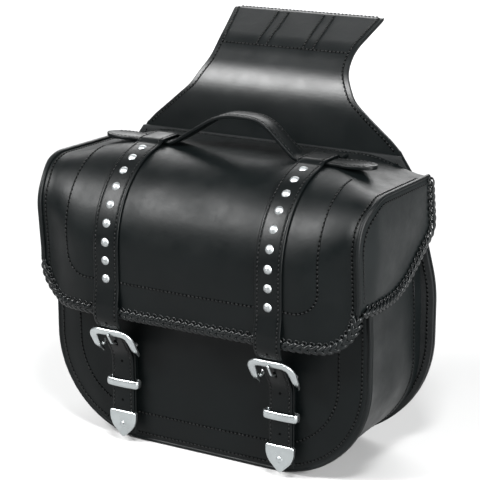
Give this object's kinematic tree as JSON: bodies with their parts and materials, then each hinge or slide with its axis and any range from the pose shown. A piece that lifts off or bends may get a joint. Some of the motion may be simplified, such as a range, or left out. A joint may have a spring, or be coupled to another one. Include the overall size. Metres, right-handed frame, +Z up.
{
  "type": "motorcycle saddlebag",
  "caption": "Black leather motorcycle saddlebag with a hinged lid, buckled studded straps, a carrying handle and a mounting yoke that folds over the seat.",
  "frame": {"origin": "centre of the footprint on the surface it stands on, midway between the front studs and the tip of the yoke", "axes": "+Z up, +X to the right seen from the front, -Y the front with the straps, +Y the back that lies against the motorcycle"},
  "size_m": [0.416, 0.2877, 0.4613],
  "materials": {
    "black_leather": "smooth satin, lightly grained",
    "strap_leather": "smooth satin, stitched edges",
    "dull_leather": "matt flesh side, dyed black",
    "lacing_leather": "braided lace, dyed black",
    "edge_leather": "burnished cut edge",
    "lining_fabric": "thin black woven lining",
    "seam_tape": "woven tape",
    "hook_and_loop": "black hook-and-loop",
    "board": "pressed fibre board",
    "satin_nickel": "satin nickel",
    "stud_metal": "polished nickel, low domes",
    "bar_steel": "plain steel wire",
    "snap_metal": "plated steel over a magnet"
  },
  "bodies": {
    "bag": {"back_board": "board", "back_edge_filler": "edge_leather", "back_inner_leather": "dull_leather", "back_outer_leather": "black_leather", "front_lining": "lining_fabric", "front_panel": "black_leather", "front_welt": "black_leather", "gusset": "black_leather", "lid_hinge_strip": "black_leather", "magnet_post_left": "snap_metal", "magnet_post_right": "snap_metal", "mouth_binding": "black_leather", "rear_seam_tape": "seam_tape", "snap_pad_left": "dull_leather", "snap_pad_right": "dull_leather"},
    "strap_left": {"strap_lower_left": "strap_leather", "buckle_frame_left": "satin_nickel", "buckle_bar_left": "bar_steel", "chape_left": "dull_leather", "strap_tip_left": "satin_nickel", "tip_rivet_left": "satin_nickel", "magnet_cap_left": "snap_metal"},
    "prong_left": {"prong_left": "satin_nickel"},
    "keeper_left": {"keeper_left": "satin_nickel"},
    "strap_right": {"strap_lower_right": "strap_leather", "buckle_frame_right": "satin_nickel", "buckle_bar_right": "bar_steel", "chape_right": "dull_leather", "strap_tip_right": "satin_nickel", "tip_rivet_right": "satin_nickel", "magnet_cap_right": "snap_metal"},
    "prong_right": {"prong_right": "satin_nickel"},
    "keeper_right": {"keeper_right": "satin_nickel"},
    "lid": {"lid_main_panel": "black_leather", "lid_lining": "lining_fabric", "front_braid": "lacing_leather", "lid_wing_left": "black_leather", "wing_braid_left": "lacing_leather", "lid_piping_left": "black_leather", "strap_upper_left": "strap_leather", "studs_left": "stud_metal", "handle_end_left": "strap_leather", "lid_wing_right": "black_leather", "wing_braid_right": "lacing_leather", "lid_piping_right": "black_leather", "strap_upper_right": "strap_leather", "studs_right": "stud_metal", "handle_end_right": "strap_leather"},
    "handle": {"handle_grip": "strap_leather"},
    "yoke": {"yoke_leather": "black_leather", "yoke_backing": "dull_leather", "yoke_hook_patches": "hook_and_loop"}
  },
  "joints": [
    {"name": "lid_hinge", "type": "hinge", "parent": "bag", "child": "lid", "pos_m": [0, 0.012, 0.328], "axis": [-1, 0, 0], "range_deg": [0, 60]},
    {"name": "yoke_fold", "type": "hinge", "parent": "bag", "child": "yoke", "pos_m": [0, 0.04235, 0.3316], "axis": [-1, 0, 0], "range_deg": [-15, 90]},
    {"name": "handle_tilt", "type": "hinge", "parent": "lid", "child": "handle", "pos_m": [0, -0.03, 0.34], "axis": [1, 0, 0], "range_deg": [-35, 35]},
    {"name": "strap_left_swing", "type": "hinge", "parent": "lid", "child": "strap_left", "pos_m": [-0.1, -0.1424, 0.171], "axis": [-1, 0, 0], "range_deg": [0, 80]},
    {"name": "prong_left_lift", "type": "hinge", "parent": "strap_left", "child": "prong_left", "pos_m": [-0.1, -0.11331, 0.11859], "axis": [1, 0, 0], "range_deg": [0, 4]},
    {"name": "keeper_left_slide", "type": "slide", "parent": "strap_left", "child": "keeper_left", "axis": [0, 0, 1], "range_m": [-0.008, 0.005]},
    {"name": "strap_right_swing", "type": "hinge", "parent": "lid", "child": "strap_right", "pos_m": [0.1, -0.1424, 0.171], "axis": [-1, 0, 0], "range_deg": [0, 80]},
    {"name": "prong_right_lift", "type": "hinge", "parent": "strap_right", "child": "prong_right", "pos_m": [0.1, -0.11331, 0.11859], "axis": [1, 0, 0], "range_deg": [0, 4]},
    {"name": "keeper_right_slide", "type": "slide", "parent": "strap_right", "child": "keeper_right", "axis": [0, 0, 1], "range_m": [-0.008, 0.005]}
  ]
}
